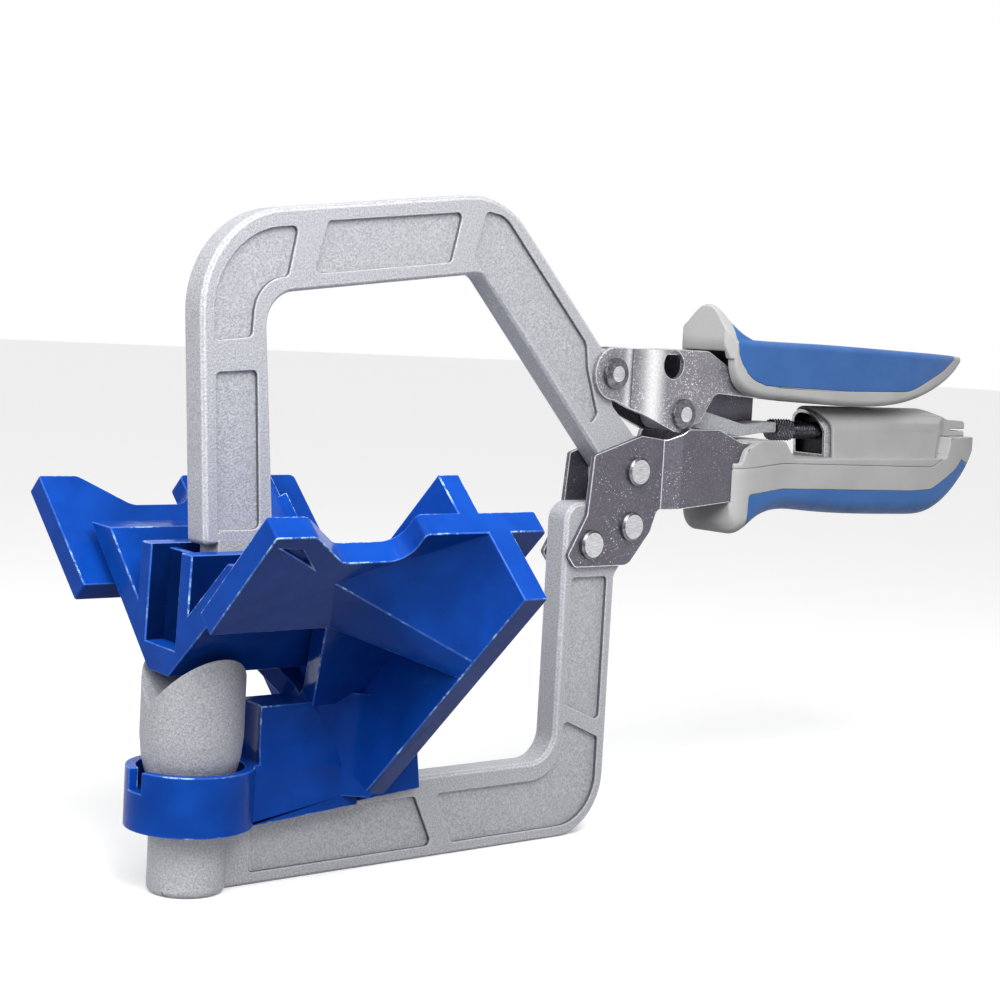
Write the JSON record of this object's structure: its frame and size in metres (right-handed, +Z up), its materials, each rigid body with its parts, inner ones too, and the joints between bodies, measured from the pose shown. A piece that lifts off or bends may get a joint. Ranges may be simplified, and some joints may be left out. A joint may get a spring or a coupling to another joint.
{
  "type": "corner clamp",
  "caption": "Locking corner clamp: a cast C frame with a blue V jaw, a matching wedge jaw on the swinging arm, and two moulded grips with a toggle lever.",
  "frame": {"origin": "bottom of the outer jaw's V, on the axis of the boss", "axes": "+X along the lower bar towards the handles, +Z up from the foot towards the upper arm, +Y across the clamp to its far side"},
  "size_m": [0.2948, 0.1328, 0.1675],
  "materials": {
    "frame_casting": "bead blasted die casting",
    "plug_casting": "as cast, lightly machined",
    "blue_paint": "glossy blue paint on cast metal",
    "plate_steel": "nickel plated sheet steel",
    "rivet_steel": "bright domed rivets",
    "pin_steel": "ground pin",
    "link_steel": "light grey cast link",
    "liner_steel": "drawn tube",
    "spring_steel": "spring wire",
    "black_steel": "black oxide, knurled",
    "screw_steel": "zinc plated screw",
    "grey_plastic": "moulded, fine grain",
    "blue_skin": "soft satin overmould"
  },
  "bodies": {
    "frame": {"lower_arm": "frame_casting", "anvil_plug": "plug_casting", "anvil_screw": "screw_steel", "outer_jaw": "blue_paint", "side_plate_near": "plate_steel", "side_plate_far": "plate_steel", "arm_pivot_rivet": "rivet_steel", "frame_rivet_low": "rivet_steel", "frame_rivet_high": "rivet_steel", "fixed_grip_shell": "grey_plastic", "fixed_grip_inlay": "blue_skin", "grip_tube": "grey_plastic", "adjuster_liner": "liner_steel"},
    "upper_arm": {"upper_arm": "frame_casting", "jaw_pin": "pin_steel", "lever_pivot_rivet": "rivet_steel"},
    "inner_jaw": {"inner_jaw": "blue_paint"},
    "lever": {"lever_channel": "plate_steel", "lever_grip_shell": "grey_plastic", "lever_grip_inlay": "blue_skin", "link_rivet": "rivet_steel"},
    "toggle_link": {"toggle_link": "link_steel"},
    "carriage": {"carriage": "link_steel", "carriage_spring": "spring_steel"},
    "adjusting_screw": {"adjusting_screw": "black_steel"}
  },
  "joints": [
    {"name": "arm_pivot", "type": "hinge", "parent": "frame", "child": "upper_arm", "pos_m": [0.1344, 0, 0.0539], "axis": [0, 1, 0], "range_deg": [0, 20]},
    {"name": "jaw_swivel", "type": "hinge", "parent": "upper_arm", "child": "inner_jaw", "pos_m": [0.009, 0, 0.0276], "axis": [0, 1, 0], "range_deg": [-20, 0]},
    {"name": "lever_open", "type": "hinge", "parent": "upper_arm", "child": "lever", "pos_m": [0.124, 0, 0.08], "axis": [0, -1, 0], "range_deg": [0, 50]},
    {"name": "link_swing", "type": "hinge", "parent": "lever", "child": "toggle_link", "pos_m": [0.149, 0, 0.0697], "axis": [0, 1, 0], "range_deg": [0, 53]},
    {"name": "carriage_slide", "type": "slide", "parent": "frame", "child": "carriage", "axis": [1, 0, 0], "range_m": [0, 0.0088]},
    {"name": "screw_turn", "type": "hinge", "parent": "carriage", "child": "adjusting_screw", "pos_m": [0.2, 0, 0.0654], "axis": [1, 0, 0], "continuous": true}
  ],
  "couplings": [
    {"joint": "jaw_swivel", "follows": "arm_pivot", "ratio": -1},
    {"joint": "lever_open", "follows": "arm_pivot", "ratio": 2.5},
    {"joint": "link_swing", "follows": "arm_pivot", "ratio": 2.64},
    {"joint": "carriage_slide", "follows": "arm_pivot", "m_per_rad": 0.0249}
  ]
}
